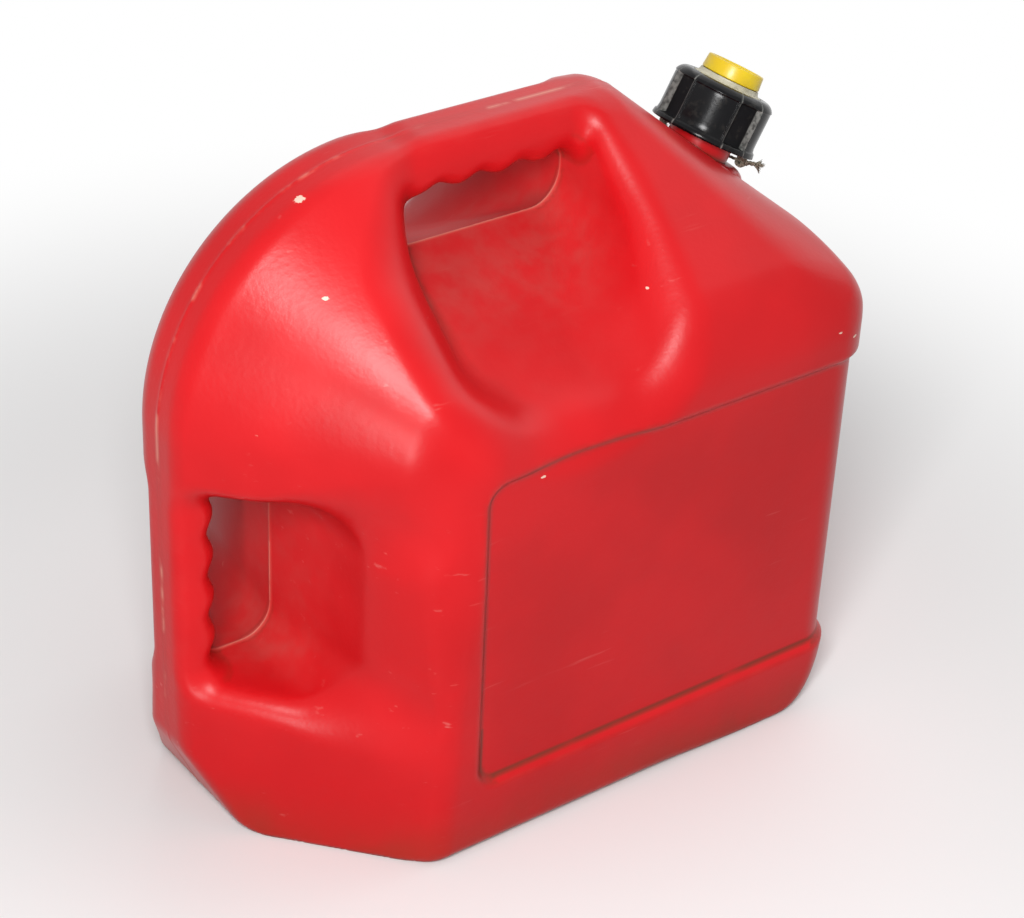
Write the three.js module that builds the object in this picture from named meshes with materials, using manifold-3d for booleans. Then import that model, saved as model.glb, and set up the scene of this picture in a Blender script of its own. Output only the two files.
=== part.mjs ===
// A five gallon petrol can: one hollow blow-moulded tank with two hand holes, and the
// screw collar, gasket, stowed spout, stopper and twine on its slanted neck.
// Millimetres, +Z up, +X towards the neck. The origin is under the middle of the box.
import * as THREE from 'three';
import Module from 'manifold-3d';

const wasm = await Module();
wasm.setup();

// Driving dimensions: tank outline, seen from the side
const tankLength = 370;
const tankHeight = 361.5;
const tankHalfWidth = 124;
const backArcRadius = 130.5;
const backArcDrop = 2;
const backStepBack = -52;
const backStepFront = -36;
const heelCutHeight = 45;
const heelCutLength = 21;
const heelRadius = 14;
const slopeAngle = 41;
const slopeStart = 82;
const crownRadius = 26;
const shoulderRadius = 62;
const toeRadius = 44;

// Driving dimensions: how the sides draw in to the narrow ridge
const ridgeHalfWidth = 16.5;
const taperAngle = 48.9;
const ridgeRound = 4;
const frontCornerRound = 28;
const flankBlendLow = 7;
const flankBlendHigh = 22;

// Driving dimensions: the edge round the base, sharper at the rear, and the flare above it
const footRound = 9;
const rearFootRound = 2;
const rearFootRoundEnd = -112;
const footRoundStart = -84;
const frontFootRound = 4;
const footRoundEnd = 40;
const frontFootRoundStart = 120;
const footRise = 25;
const frontFootRise = 76;
const footFlare = 3;
const footFlareHeight = 75;

// Driving dimensions: top hand hole. Its corners and edges widen from the middle outwards
const topWeldDepth = 64.5;
const topPocketBack = -43;
const topPocketFront = 58.5;
const topPocketSlope = 26;
const topBackSplay = 20;
const topBackTilt = 25;
const topTiltSpread = 60;
const topFrontCorner = 18.5;
const topFrontCornerWide = 50;
const topCreaseCorner = 6;
const topCreaseCornerWide = 40;
const topBackEdge = 26;
const topFrontEdge = 18;
const topGripThickness = 28.5;

// Driving dimensions: rear hand hole
const rearWeldDepth = 64.2;
const rearPocketSlope = 5;
const rearFloorHeight = 89.5;
const rearFloorFall = 5;
const rearCeilingHeight = 200;
const rearCeilingRise = 8.5;
const rearCeilingCorner = 28;
const rearCeilingCornerWide = 34;
const rearFloorCorner = 18;
const rearFloorCornerWide = 30;
const rearCeilingEdge = 5;
const rearFloorEdge = 12;
const rearSideEdge = 18;
const rearCornerEdge = 30;
const rearSideHeight = 50;
const rearCornerHeight = 120;
const rearGripThickness = 21.5;
const cornerSpread = 85;
const edgeSpread = 115;

// Driving dimensions: both grips
const gripHalfWidth = 19;
const gripRound = 9;
const gripRidgeRound = 11;
const gripFillet = 9;
const fingerPitch = 25;
const fingerDepth = 1.8;
const topFingerCrest = 8;
const rearFingerCrest = 163;

// Driving dimensions: recessed label band
const bandBack = -73;
const bandBottom = 38.8;
const bandTop = 230;
const bandDepth = 4;
const bandCorner = 15;
const bandRamp = 8;

// Driving dimensions: wall, neck and thread. Heights on the neck count from the
// collar's lower rim along the neck's axis, where it stands off the front slope
const wall = 4.2;
const neckAngle = 29.5;
const neckForward = 73.7;
const neckStand = 10;
const neckWaistRadius = 18.3;
const neckThreadRadius = 21.2;
const neckBoreRadius = 15.8;
const neckWaistTop = 9;
const neckFlare = 2.5;
const neckFootRadius = 24.5;
const neckFootSink = 9;
const threadPitch = 6;
const threadDepth = 1.9;
const threadWidth = 2.2;
const threadTurns = 1.15;
const threadClearance = 0.5;

// Driving dimensions: collar
const collarHeight = 31;
const collarRadius = 29.2;
const collarFootRadius = 30.3;
const collarShoulder = 6.5;
const collarRing = 3;
const collarBand = 4.8;
const collarSkirt = 3.4;
const collarChamfer = 0.8;
const lobeCount = 4;
const lobeAngle = 59;
const lobeTurn = 36.6;
const windowFloorRadius = 25.6;
const lobeInset = 0.7;
const lobeStripAngle = 3.2;
const twineHoleRadius = 1.5;
const twineHoleInset = 0.2;
const twineHoleAngles = [91.6, -18.4];

// Driving dimensions: gasket, spout and stopper
const fitGap = 0.3;
const gasketThickness = 1.5;
const gasketInset = 0.8;
const flangeThickness = 2.2;
const flangeRadius = 21.4;
const mouthRadius = 17.2;
const mouthFlareRadius = 19.7;
const mouthRise = 2.8;
const spoutLength = 214;
const spoutTopRadius = 15.2;
const spoutTipRadius = 9.5;
const spoutTipLength = 30;
const spoutWall = 1.7;
const stopperTopRadius = 16.2;
const stopperRadius = 16.9;
const stopperHead = 8;
const stopperStem = 9.5;
const stopperDish = 3.4;
const stopperRim = 2.2;
const stopperRound = 0.8;

// Driving dimensions: twine. Its route is given as radius, angle and height on the neck
const twineRadius = 0.9;
const twineGap = 0.45;
const knotRadii = [1.6, 2.2];
const knotDrops = [2.1, 4];
const twineRoute = [[24.6, 80, -3.4], [21.6, 64, -4.4], [20.4, 48, -5], [20.3, 26, -5.1],
  [21.4, 10, -5], [24.8, -6, -4.6]];
const twineTails = [[[29.8, 97, -3], [31, 104, -2.4], [32, 110, -1.2]],
  [[32.4, -20, -3], [35.6, -24, 0], [38.6, -29, 1]]];

// Fineness of the meshes
const coarseCell = 18;
const fineCell = 9.8;
const cavityCell = 19;
const roundSteps = 48;
const filletSteps = 6;
const threadSteps = 24;
const twineSides = 8;
const twineStep = 1.7;
const crossingSteps = 4;
const projectionSteps = 6;
const holdShare = 0.1;
const leastSlope = 0.25;

// Shared arithmetic
const radians = (angle) => angle * Math.PI / 180;
const sin = (angle) => Math.sin(radians(angle));
const cos = (angle) => Math.cos(radians(angle));
const tan = (angle) => Math.tan(radians(angle));
const rearX = -tankLength / 2;
const frontX = tankLength / 2;
const topWeldHeight = tankHeight - topWeldDepth;
const topGripHeight = tankHeight - topGripThickness;
const rearWeldX = rearX + rearWeldDepth;
const rearGripX = rearX + rearGripThickness;
const neckX = slopeStart + neckForward;

// Distance-like fields: negative inside. The rounded joins keep the fields' slopes near one
function roundMax(a, b, radius) {
  const u = Math.max(a + radius, 0);
  const v = Math.max(b + radius, 0);
  return Math.min(-radius, Math.max(a, b)) + Math.hypot(u, v);
}

const roundMin = (a, b, radius) => -roundMax(-a, -b, radius);

// The reach that gives a true radius where two planes meet at a turn other than 90 degrees
function reach(radius, turn) {
  const half = cos(turn / 2);
  return radius * (1 / half - 1) * half * Math.SQRT2 / (Math.SQRT2 - 1);
}

function ramp(value, from, to) {
  const share = Math.min(Math.max((value - from) / (to - from), 0), 1);
  return share * share * (3 - 2 * share);
}

const mix = (a, b, share) => a + (b - a) * share;

// Depth below the line of the back, its arc and the top, where the grip stands up a little
const arcX = rearX + backArcRadius;
const arcZ = tankHeight - backArcDrop - backArcRadius;
function ridgeDepth(x, z) {
  if (x < arcX && z > arcZ) return backArcRadius - Math.hypot(arcX - x, z - arcZ);
  const drop = mix(backArcDrop, 0, ramp(x, backStepBack, backStepFront));
  return Math.min(x - rearX, tankHeight - drop - z);
}

// The outline seen from the side
const heelNormal = new THREE.Vector2(-heelCutHeight, -heelCutLength).normalize();
const heelTurn = THREE.MathUtils.radToDeg(Math.atan2(heelCutLength, heelCutHeight));
function outlineField(x, z) {
  const heel = (x - rearX - heelCutLength) * heelNormal.x + z * heelNormal.y;
  const slope = (x - slopeStart) * sin(slopeAngle) + (z - tankHeight) * cos(slopeAngle);
  const back = roundMax(-ridgeDepth(x, z), heel, reach(crownRadius, heelTurn));
  const top = roundMax(back, slope, reach(crownRadius, slopeAngle));
  const front = roundMax(top, x - frontX, reach(shoulderRadius, 90 - slopeAngle));
  const toe = roundMax(front, -z, x > 0 ? toeRadius : reach(heelRadius, 90 - heelTurn));
  return toe;
}

// The flanks: full width, drawn in at a constant angle towards the ridge
function taperField(x, y, z) {
  const flare = mix(footFlare, 0, ramp(z, 0, footFlareHeight));
  return (y - ridgeHalfWidth) * cos(taperAngle) - ridgeDepth(x, z) * sin(taperAngle) - flare;
}

const blendBottom = bandBottom * 2;
function flankField(x, y, z) {
  const blend = mix(flankBlendLow, flankBlendHigh, ramp(z, blendBottom, bandTop));
  return roundMax(taperField(x, y, z), y - tankHalfWidth, blend);
}

// The hollow sides of the top hand hole: a roof whose ridge is the weld, and a back wall
// that leans further back away from the middle
const backLean = Math.hypot(1, tan(topBackSplay), tan(topBackTilt));
const outwards = (near, wide, y) => mix(near, wide, ramp(y, 0, cornerSpread));
function topPocketField(x, y, z) {
  const roof = (topWeldHeight - z) * cos(topPocketSlope) - y * sin(topPocketSlope);
  const tilt = (z - topWeldHeight) * tan(topBackTilt) * ramp(y, 0, topTiltSpread);
  const back = (topPocketBack - x - y * tan(topBackSplay) - tilt) / backLean;
  const fade = ramp(y, topTiltSpread, tankHalfWidth);
  const crease = roundMax(roof, back, mix(topCreaseCorner, topCreaseCornerWide, fade));
  return roundMax(crease, x - topPocketFront, outwards(topFrontCorner, topFrontCornerWide, y));
}

function rearPocketField(x, y, z) {
  const roof = (x - rearWeldX) * cos(rearPocketSlope) - y * sin(rearPocketSlope);
  const ceiling = (z - rearCeilingHeight) * cos(rearCeilingRise) - y * sin(rearCeilingRise);
  const upper = roundMax(roof, ceiling, outwards(rearCeilingCorner, rearCeilingCornerWide, y));
  const floor = (rearFloorHeight - z) * cos(rearFloorFall) - y * sin(rearFloorFall);
  return roundMax(upper, floor, outwards(rearFloorCorner, rearFloorCornerWide, y));
}

// How round the rim of the rear hand hole is: sharp at the ceiling, softer at the floor, and
// away from the grip softest in its corners
function rearRimRound(y, z) {
  const upright = ramp(z, rearFloorHeight, rearCeilingHeight);
  const inner = mix(rearFloorEdge, rearCeilingEdge, upright);
  const span = Math.abs(z * 2 - rearFloorHeight - rearCeilingHeight);
  const outer = mix(rearSideEdge, rearCornerEdge, ramp(span, rearSideHeight, rearCornerHeight));
  return mix(inner, outer, ramp(y, gripHalfWidth * 2, edgeSpread));
}

// Finger waves along a grip
const wave = (along, crest) => Math.cos((along - crest) * 2 * Math.PI / fingerPitch);

const gripField = (y, inner) => roundMax(y - gripHalfWidth, inner, gripRound);
const topGripField = (x, y, z) =>
  gripField(y, topGripHeight - fingerDepth * wave(x, topFingerCrest) - z);
const rearGripField = (x, y, z) =>
  gripField(y, x - rearGripX - fingerDepth * wave(z, rearFingerCrest));

// The recessed band for a label, which runs round the front corners
function bandMask(x, z) {
  const sides = Math.max(bandBottom - z, z - bandTop);
  const edge = roundMax(sides, bandBack - x, bandCorner);
  return ramp(-edge, 0, bandRamp);
}

function edgeRound(x, z) {
  const upright = mix(ridgeRound, frontCornerRound, ramp(x, slopeStart / 2, neckX));
  const rear = mix(rearFootRound, footRound, ramp(x, rearFootRoundEnd, footRoundStart));
  const front = ramp(x, footRoundEnd, frontFootRoundStart);
  const frontRise = ramp(x + z, frontX - toeRadius, frontX - toeRadius + frontFootRise);
  return mix(mix(rear, frontFootRound, front), upright, mix(ramp(z, 0, footRise), frontRise, front));
}

// The block with both hand holes taken out, less the grips if they are given
function carvedField(x, yAcross, z, topGrip, rearGrip) {
  const y = Math.abs(yAcross);
  const block = roundMax(flankField(x, y, z), outlineField(x, z), edgeRound(x, z));
  const away = ramp(y, gripHalfWidth, gripHalfWidth * 3);
  const topFull = mix(topBackEdge, topFrontEdge, ramp(x, topPocketBack, topPocketFront));
  const topWall = roundMin(-topPocketField(x, y, z), topGrip(x, y, z), gripFillet);
  const topped = roundMax(block, topWall, mix(gripRidgeRound, topFull, away));
  const rearWall = roundMin(-rearPocketField(x, y, z), rearGrip(x, y, z), gripFillet);
  const cut = roundMax(topped, rearWall, mix(gripRidgeRound, rearRimRound(y, z), away));
  return cut + bandDepth * bandMask(x, z);
}

const tankField = (x, y, z) => carvedField(x, y, z, topGripField, rearGripField);

// The hollow inside keeps a wall away from the outside and leaves the grips solid
const noGrip = () => tankLength;
const cavityField = (x, y, z) => carvedField(x, y, z, noGrip, noGrip) + wall;

// Grid lines from a start through a list of stretches, each with its own cell size
function gridLines(start, stretches) {
  const lines = [start];
  for (const [to, cell] of stretches) {
    const from = lines[lines.length - 1];
    const count = Math.max(Math.round((to - from) / cell), 1);
    for (let i = 1; i <= count; i += 1) lines.push(from + (to - from) * i / count);
  }
  return lines;
}

function slopeOf(field, p, step) {
  return new THREE.Vector3(
    field(p.x + step, p.y, p.z) - field(p.x - step, p.y, p.z),
    field(p.x, p.y + step, p.z) - field(p.x, p.y - step, p.z),
    field(p.x, p.y, p.z + step) - field(p.x, p.y, p.z - step),
  ).divideScalar(2 * step);
}

// Where a grid edge crosses the surface
function crossing(field, from, to, valueFrom, valueTo) {
  const [low, high] = [from.clone(), to.clone()];
  let [a, b] = [valueFrom, valueTo];
  const p = new THREE.Vector3();
  for (let n = 0; n < crossingSteps; n += 1) {
    p.lerpVectors(low, high, a / (a - b));
    const value = field(p.x, p.y, p.z);
    if (value < 0 === a < 0) {
      low.copy(p);
      a = value;
    } else {
      high.copy(p);
      b = value;
    }
  }
  return p;
}

// The point that lies best on the planes at all crossings of a cell, held near their middle
function bestPoint(field, crossings, step) {
  const middle = new THREE.Vector3();
  for (const p of crossings) middle.addScaledVector(p, 1 / crossings.length);
  const sums = new Array(9).fill(0);
  const pull = new THREE.Vector3();
  for (const p of crossings) {
    const normal = slopeOf(field, p, step).normalize();
    pull.addScaledVector(normal, normal.dot(p) - normal.dot(middle));
    const parts = normal.toArray();
    for (let n = 0; n < 9; n += 1) sums[n] += parts[Math.floor(n / 3)] * parts[n % 3];
  }
  for (let n = 0; n < 9; n += 4) sums[n] += holdShare;
  return middle.add(pull.applyMatrix3(new THREE.Matrix3().set(...sums).invert()));
}

// A closed surface round a field: one corner in each cell that the surface crosses, drawn
// onto the surface, and one four-sided face across each grid edge that it crosses
function surfaceOf(field, xs, ys, zs) {
  const step = (xs[1] - xs[0]) / 1000;
  const size = [xs.length, ys.length, zs.length];
  const at = (i, j, k) => (i * size[1] + j) * size[2] + k;
  const values = new Float64Array(size[0] * size[1] * size[2]);
  xs.forEach((x, i) => ys.forEach((y, j) => zs.forEach((z, k) => {
    values[at(i, j, k)] = field(x, y, z);
  })));
  const positions = [];
  const cornerOf = new Map();
  const crossingOf = new Map();
  const edgeCrossing = (a, b) => {
    const key = at(...a) * values.length + at(...b);
    if (!crossingOf.has(key)) {
      const [pa, pb] = [a, b].map((e) => new THREE.Vector3(xs[e[0]], ys[e[1]], zs[e[2]]));
      crossingOf.set(key, crossing(field, pa, pb, values[at(...a)], values[at(...b)]));
    }
    return crossingOf.get(key);
  };
  const corner = (i, j, k) => {
    const key = at(i, j, k);
    if (cornerOf.has(key)) return cornerOf.get(key);
    const crossings = [];
    for (let a = 0; a < 8; a += 1) {
      for (const bit of [1, 2, 4]) {
        if (a & bit) continue;
        const ends = [a, a | bit].map((c) => [i + (c & 1), j + (c >> 1 & 1), k + (c >> 2 & 1)]);
        const [va, vb] = ends.map((e) => values[at(...e)]);
        if (va < 0 !== vb < 0) crossings.push(edgeCrossing(...ends));
      }
    }
    const p = bestPoint(field, crossings, step);
    const low = new THREE.Vector3(xs[i], ys[j], zs[k]);
    const high = new THREE.Vector3(xs[i + 1], ys[j + 1], zs[k + 1]);
    p.clamp(low, high);
    for (let n = 0; n < projectionSteps; n += 1) {
      const slope = slopeOf(field, p, step);
      p.addScaledVector(slope, -field(p.x, p.y, p.z) / Math.max(slope.lengthSq(), leastSlope));
    }
    cornerOf.set(key, positions.length / 3);
    positions.push(p.x, p.y, p.z);
    return cornerOf.get(key);
  };
  const indices = [];
  const point = (n) => new THREE.Vector3().fromArray(positions, n * 3);
  const addFace = (a, b, c, d, flip) => {
    const quad = flip ? [d, c, b, a] : [a, b, c, d];
    const [pa, pb, pc, pd] = quad.map(point);
    const [q0, q1, q2, q3] = quad;
    if (pa.distanceTo(pc) < pb.distanceTo(pd)) indices.push(q0, q1, q2, q0, q2, q3);
    else indices.push(q1, q2, q3, q1, q3, q0);
  };
  for (let i = 0; i < size[0] - 1; i += 1) {
    for (let j = 0; j < size[1] - 1; j += 1) {
      for (let k = 0; k < size[2] - 1; k += 1) {
        const inside = values[at(i, j, k)] < 0;
        if (inside !== values[at(i + 1, j, k)] < 0) {
          addFace(corner(i, j - 1, k - 1), corner(i, j, k - 1), corner(i, j, k),
            corner(i, j - 1, k), !inside);
        }
        if (inside !== values[at(i, j + 1, k)] < 0) {
          addFace(corner(i - 1, j, k - 1), corner(i - 1, j, k), corner(i, j, k),
            corner(i, j, k - 1), !inside);
        }
        if (inside !== values[at(i, j, k + 1)] < 0) {
          addFace(corner(i - 1, j - 1, k), corner(i, j - 1, k), corner(i, j, k),
            corner(i - 1, j, k), !inside);
        }
      }
    }
  }
  return indexed(positions, indices);
}

// A solid for joining and cutting
function solid(geometry) {
  return new wasm.Manifold(new wasm.Mesh({
    numProp: 3,
    vertProperties: new Float32Array(geometry.attributes.position.array),
    triVerts: new Uint32Array(geometry.index.array),
  }));
}

function geometryOf(manifold) {
  const mesh = manifold.getMesh();
  return indexed(mesh.vertProperties, mesh.triVerts);
}

function indexed(positions, indices) {
  const geometry = new THREE.BufferGeometry();
  geometry.setAttribute('position', new THREE.Float32BufferAttribute(positions, 3));
  geometry.setIndex(Array.from(indices));
  return geometry;
}

// A solid turned about +Z from radius and height pairs that run up its outside. A profile
// that starts off the axis is a closed ring
function turned(profile, steps = roundSteps) {
  const positions = [];
  const rows = profile.map(([radius, height]) => {
    const first = positions.length / 3;
    const count = radius === 0 ? 1 : steps;
    for (let n = 0; n < count; n += 1) {
      const angle = 2 * Math.PI * n / steps;
      positions.push(radius * Math.cos(angle), radius * Math.sin(angle), height);
    }
    return (n) => first + n % count;
  });
  const indices = [];
  const pairs = rows.slice(1).map((row, n) => [n, n + 1]);
  if (profile[0][0] > 0) pairs.push([rows.length - 1, 0]);
  for (const [below, above] of pairs) {
    for (let n = 0; n < steps; n += 1) {
      const quad = [rows[below](n), rows[below](n + 1), rows[above](n + 1), rows[above](n)];
      if (quad[0] !== quad[1]) indices.push(quad[0], quad[1], quad[2]);
      if (quad[2] !== quad[3]) indices.push(quad[0], quad[2], quad[3]);
    }
  }
  return indexed(positions, indices);
}

// Radius and height pairs along an arc, by angle from the outward direction
function arc(centreRadius, centreHeight, radius, from, to) {
  return Array.from({ length: filletSteps + 1 }, (_, n) => {
    const angle = mix(from, to, n / filletSteps);
    return [centreRadius + radius * cos(angle), centreHeight + radius * sin(angle)];
  });
}

// A closed solid through sections of equally many points, which run anticlockwise as seen
// along the way
function lofted(sections) {
  const sides = sections[0].length;
  const last = (sections.length - 1) * sides;
  const indices = [];
  for (let n = 2; n < sides; n += 1) indices.push(0, n - 1, n, last, last + n, last + n - 1);
  for (let n = 0; n < last; n += sides) {
    for (let s = 0; s < sides; s += 1) {
      const a = n + s;
      const b = n + (s + 1) % sides;
      indices.push(a, a + sides, b, b, a + sides, b + sides);
    }
  }
  return indexed(sections.flat().flatMap((point) => point.toArray()), indices);
}

function onCircle(radius, angle, height) {
  return new THREE.Vector3(radius * cos(angle), radius * sin(angle), height);
}

// A thread about +Z: one trapezoid along a helix
function thread(rootRadius, crestRadius, start) {
  const count = Math.round(threadTurns * threadSteps);
  const section = [[rootRadius, -threadWidth / 2], [crestRadius, -threadWidth / 4],
    [crestRadius, threadWidth / 4], [rootRadius, threadWidth / 2]];
  if (crestRadius < rootRadius) section.reverse();
  return lofted(Array.from({ length: count + 1 }, (_, n) => section.map(([radius, height]) =>
    onCircle(radius, 360 * n / threadSteps, start + threadPitch * n / threadSteps + height))));
}

// A block bent about +Z between two angles
function sector(inner, outer, bottom, top, from, to) {
  const count = Math.ceil((to - from) * roundSteps / 360);
  const section = [[inner, bottom], [outer, bottom], [outer, top], [inner, top]];
  return lofted(Array.from({ length: count + 1 }, (_, n) => section.map(([radius, height]) =>
    onCircle(radius, mix(from, to, n / count), height))));
}

// A round cord along a route of points
function cord(points) {
  const curve = new THREE.CatmullRomCurve3(points);
  const steps = Math.round(curve.getLength() / twineStep);
  const { normals, binormals } = curve.computeFrenetFrames(steps);
  return solid(lofted(normals.map((normal, n) => Array.from({ length: twineSides }, (_, side) =>
    curve.getPointAt(n / steps)
      .addScaledVector(normal, twineRadius * cos(360 * side / twineSides))
      .addScaledVector(binormals[n], -twineRadius * sin(360 * side / twineSides))))));
}

// The frame of the neck: its origin is on the axis, level with the collar's lower rim
const neckClearance = neckStand * cos(slopeAngle - neckAngle);
const neckZ = tankHeight + (neckClearance - neckForward * sin(slopeAngle)) / cos(slopeAngle);
const neckFrame = new THREE.Group();
neckFrame.position.set(neckX, 0, neckZ);
neckFrame.rotation.y = radians(neckAngle);
neckFrame.updateMatrix();
const onNeck = (body) => body.transform(neckFrame.matrix.toArray());

// The frame of the neck's foot: on the neck's axis, square to the front slope
const footFrame = new THREE.Group();
footFrame.position.set(neckX - neckStand * sin(neckAngle), 0, neckZ - neckStand * cos(neckAngle));
footFrame.rotation.y = radians(slopeAngle);
footFrame.updateMatrix();

// What stacks up inside the collar, from its ring down
const ringUnder = collarHeight - collarRing;
const flangeTop = ringUnder - fitGap;
const flangeUnder = flangeTop - flangeThickness;
const gasketTop = flangeUnder - fitGap;
const gasketUnder = gasketTop - gasketThickness;
const neckLip = gasketUnder - fitGap;
const threadRadius = neckThreadRadius + threadDepth;
const collarBore = threadRadius + threadClearance;
const ringHole = mouthFlareRadius + fitGap;
const neckThreadStart = neckWaistTop + neckFlare + threadWidth;
const collarThreadStart = neckThreadStart - threadPitch / 2;
const overlap = threadDepth / 3;

// Tank
function tankBody() {
  const margin = coarseCell / 2;
  const xs = gridLines(rearX - margin, [[rearWeldX, fineCell],
    [topPocketBack - coarseCell, coarseCell], [topPocketFront, fineCell],
    [frontX + margin, coarseCell]]);
  const ys = gridLines(-tankHalfWidth - margin, [[-ridgeHalfWidth * 2, coarseCell],
    [ridgeHalfWidth * 2, fineCell], [tankHalfWidth + margin, coarseCell]]);
  const zs = gridLines(-margin, [[rearFloorHeight, coarseCell], [rearCeilingHeight, fineCell],
    [topWeldHeight - topGripThickness, coarseCell], [tankHeight + margin, fineCell]]);
  const outside = solid(surfaceOf(tankField, xs, ys, zs));

  const hollow = [
    gridLines(rearX - wall, [[topPocketBack - fineCell * 2, cavityCell],
      [topPocketBack + fineCell, fineCell], [frontX + wall, cavityCell]]),
    gridLines(-tankHalfWidth - wall, [[tankHalfWidth + wall, cavityCell]]),
    gridLines(-wall, [[topWeldHeight - coarseCell * 2, cavityCell],
      [topWeldHeight, fineCell], [tankHeight + wall, cavityCell]]),
  ];
  const cavity = solid(surfaceOf(cavityField, ...hollow));

  const neckDepth = neckStand + neckFootSink + wall;
  const neckRound = threadDepth / 2;
  const neck = turned([[0, -neckDepth], [neckWaistRadius, -neckDepth],
    [neckWaistRadius, neckWaistTop], [neckThreadRadius, neckWaistTop + neckFlare],
    [neckThreadRadius, neckLip - neckRound], [neckThreadRadius - neckRound, neckLip],
    [0, neckLip]]);
  const footHeight = neckFootRadius - neckWaistRadius;
  const footRadius = footHeight * (1 + tan(slopeAngle - neckAngle));
  const foot = turned([[0, -neckFootSink], [neckFootRadius, -neckFootSink],
    ...arc(neckFootRadius, footRadius, footRadius, -90, -180), [0, footRadius]]);
  const outerThread = thread(neckThreadRadius - overlap, threadRadius, neckThreadStart);
  const boreDepth = neckDepth + neckBoreRadius;
  const bore = turned([[0, -boreDepth], [neckBoreRadius, -boreDepth],
    [neckBoreRadius, neckLip + overlap], [0, neckLip + overlap]]);
  return outside
    .add(solid(foot).transform(footFrame.matrix.toArray()))
    .add(onNeck(solid(neck)))
    .add(onNeck(solid(outerThread)))
    .subtract(cavity)
    .subtract(onNeck(solid(bore)));
}

// Gasket on the neck's lip
function neckGasket() {
  const inner = neckBoreRadius + gasketInset;
  const outer = neckThreadRadius - gasketInset;
  return onNeck(solid(turned([[outer, gasketUnder], [outer, gasketTop], [inner, gasketTop],
    [inner, gasketUnder]])));
}

// Spout, stowed upside down: its mouth stands in the collar's ring, its tube hangs inside
function spoutTube() {
  const mouthTop = collarHeight + mouthRise;
  const tipTop = flangeUnder - spoutLength + spoutTipLength;
  const rise = mouthFlareRadius - mouthRadius;
  return onNeck(solid(turned([
    [spoutTipRadius, flangeUnder - spoutLength],
    [spoutTipRadius, tipTop],
    [spoutTopRadius, tipTop + spoutTipLength],
    [spoutTopRadius, flangeUnder],
    [flangeRadius, flangeUnder],
    [flangeRadius, flangeTop],
    [mouthFlareRadius, flangeTop],
    [mouthFlareRadius, collarHeight],
    ...arc(mouthFlareRadius, collarHeight + rise, rise, -90, -180).slice(1),
    [mouthRadius, mouthTop],
    [spoutTopRadius - spoutWall, mouthTop],
    [spoutTopRadius - spoutWall, tipTop + spoutTipLength],
    [spoutTipRadius - spoutWall, tipTop],
    [spoutTipRadius - spoutWall, flangeUnder - spoutLength],
  ])));
}

// Stopper in the spout's mouth
function stopper() {
  const under = collarHeight + mouthRise + fitGap;
  const top = under + stopperHead;
  const stem = spoutTopRadius - spoutWall - fitGap;
  const dishRadius = stopperTopRadius - stopperRim;
  return onNeck(solid(turned([
    [0, under - stopperStem],
    [stem - stopperRound, under - stopperStem],
    [stem, under - stopperStem + stopperRound],
    [stem, under],
    [stopperRadius - stopperRound, under],
    [stopperRadius, under + stopperRound],
    [stopperTopRadius, top - stopperRound],
    [stopperTopRadius - stopperRound, top],
    [dishRadius + stopperRound, top],
    [dishRadius, top - stopperRound],
    [dishRadius - stopperRound, top - stopperDish],
    [0, top - stopperDish],
  ])));
}

// How far from the neck's axis the twine passes through the skirt
const holeReach = windowFloorRadius + twineHoleRadius + twineHoleInset;

// Screw collar: a turned cap with a threaded bore, cut back between its lobes
function screwCollar() {
  const outside = [[collarFootRadius - collarChamfer, 0], [collarFootRadius, collarChamfer],
    [collarFootRadius, collarSkirt],
    ...arc(collarRadius - collarShoulder, collarHeight - collarShoulder, collarShoulder, 0, 90)];
  let body = solid(turned([...outside, [ringHole, collarHeight], [ringHole, ringUnder],
    [collarBore, ringUnder], [collarBore, 0]]));
  const windowTop = collarHeight - collarBand;
  const beyond = collarFootRadius + collarSkirt;
  const gap = 360 / lobeCount - lobeAngle;
  for (let n = 0; n < lobeCount; n += 1) {
    const centre = lobeTurn + 360 * n / lobeCount;
    const half = lobeAngle / 2 - lobeStripAngle;
    const window = sector(windowFloorRadius, beyond, collarSkirt, windowTop,
      centre + lobeAngle / 2, centre + lobeAngle / 2 + gap);
    const face = sector(collarRadius - lobeInset, beyond, collarSkirt, windowTop,
      centre - half, centre + half);
    body = body.subtract(solid(window)).subtract(solid(face));
  }
  const innerThread = thread(collarBore + overlap, neckThreadRadius + threadClearance,
    collarThreadStart);
  body = body.add(solid(innerThread));
  const hole = solid(turned([[0, -collarSkirt], [twineHoleRadius, -collarSkirt],
    [twineHoleRadius, collarSkirt * 2], [0, collarSkirt * 2]], twineSides * 2));
  for (const angle of twineHoleAngles) {
    body = body.subtract(hole.translate(onCircle(holeReach, angle, 0).toArray()));
  }
  return onNeck(body);
}

// Twine: a loop and a knot at each hole, one strand behind the neck and a loose tail each
function tetherTwine() {
  const inside = holeReach;
  const outside = collarFootRadius + twineGap + twineRadius;
  const over = collarSkirt + twineGap * 2 + twineRadius;
  const knots = twineHoleAngles.map((angle, n) =>
    onCircle((inside + outside) / 2, angle, -knotDrops[n]));
  const along = (list) => list.map(([radius, angle, height]) => onCircle(radius, angle, height));
  let body = cord([knots[0], ...along(twineRoute), knots[1]]);
  twineHoleAngles.forEach((angle, n) => {
    const under = -twineGap - twineRadius;
    const loop = [[inside, under], [inside, collarSkirt / 2], [inside, collarSkirt],
      [(inside + outside) / 2, over], [outside, collarSkirt], [outside, collarSkirt / 2],
      [outside, under]];
    const bend = loop.map(([radius, height]) => onCircle(radius, angle, height));
    const knot = solid(turned([[0, -knotRadii[n]], ...arc(0, 0, knotRadii[n], -60, 60),
      [0, knotRadii[n]]], twineSides));
    body = body
      .add(cord([knots[n], ...bend, knots[n]]))
      .add(cord([knots[n], ...along(twineTails[n])]))
      .add(knot.translate(knots[n].toArray()));
  });
  return onNeck(body);
}

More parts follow.
